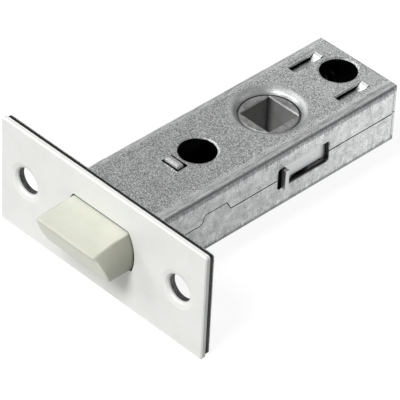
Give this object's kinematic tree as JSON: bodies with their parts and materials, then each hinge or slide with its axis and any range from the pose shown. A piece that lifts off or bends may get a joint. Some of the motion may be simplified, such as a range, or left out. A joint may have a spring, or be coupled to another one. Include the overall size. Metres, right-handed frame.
{
  "type": "interior door latch",
  "caption": "Mortise door latch with a bevelled nylon bolt, a white face plate and a folded steel case, worked by a square spindle socket.",
  "frame": {"origin": "on the hub's turning axis, halfway through the thickness of the case", "axes": "+Z along the spindle, -Y the way the bolt points out of the door's edge, +X across the face plate's length, to the right seen from behind the plate"},
  "size_m": [0.0568, 0.0798, 0.0251],
  "materials": {
    "white_paint": "satin white stove enamel on sheet steel",
    "galvanised_sheet": "galvanised sheet with a fine grained surface",
    "bolt_nylon": "ivory moulded nylon, satin",
    "carriage_steel": "zinc-plated sheet steel",
    "hub_casting": "die-cast zinc alloy, as cast",
    "spring_wire": "drawn spring wire, oiled black"
  },
  "bodies": {
    "case": {"front_plate": "white_paint", "forend_plate": "galvanised_sheet", "upper_case": "galvanised_sheet", "lower_case": "galvanised_sheet", "spring_post": "galvanised_sheet", "bolt_spring": "spring_wire", "return_spring_left": "spring_wire", "return_spring_right": "spring_wire"},
    "bolt": {"latch_bolt": "bolt_nylon"},
    "carriage": {"carriage": "carriage_steel"},
    "hub": {"hub": "hub_casting"}
  },
  "joints": [
    {"name": "hub_turn", "type": "hinge", "parent": "case", "child": "hub", "pos_m": [0, 0, 0], "axis": [0, 0, 1], "range_deg": [0, 72], "stiffness_Nm_per_rad": 0.041, "springref_deg": -77.35},
    {"name": "carriage_slide", "type": "slide", "parent": "case", "child": "carriage", "axis": [0, 1, 0], "range_m": [0, 0.0093], "deforming": ["return_spring_left", "return_spring_right"]},
    {"name": "bolt_slide", "type": "slide", "parent": "case", "child": "bolt", "axis": [0, 1, 0], "range_m": [0, 0.0093], "deforming": ["bolt_spring"]}
  ],
  "couplings": [
    {"joint": "carriage_slide", "follows": "hub_turn", "m_per_rad": 0.007386},
    {"joint": "bolt_slide", "follows": "hub_turn", "m_per_rad": 0.007386}
  ]
}
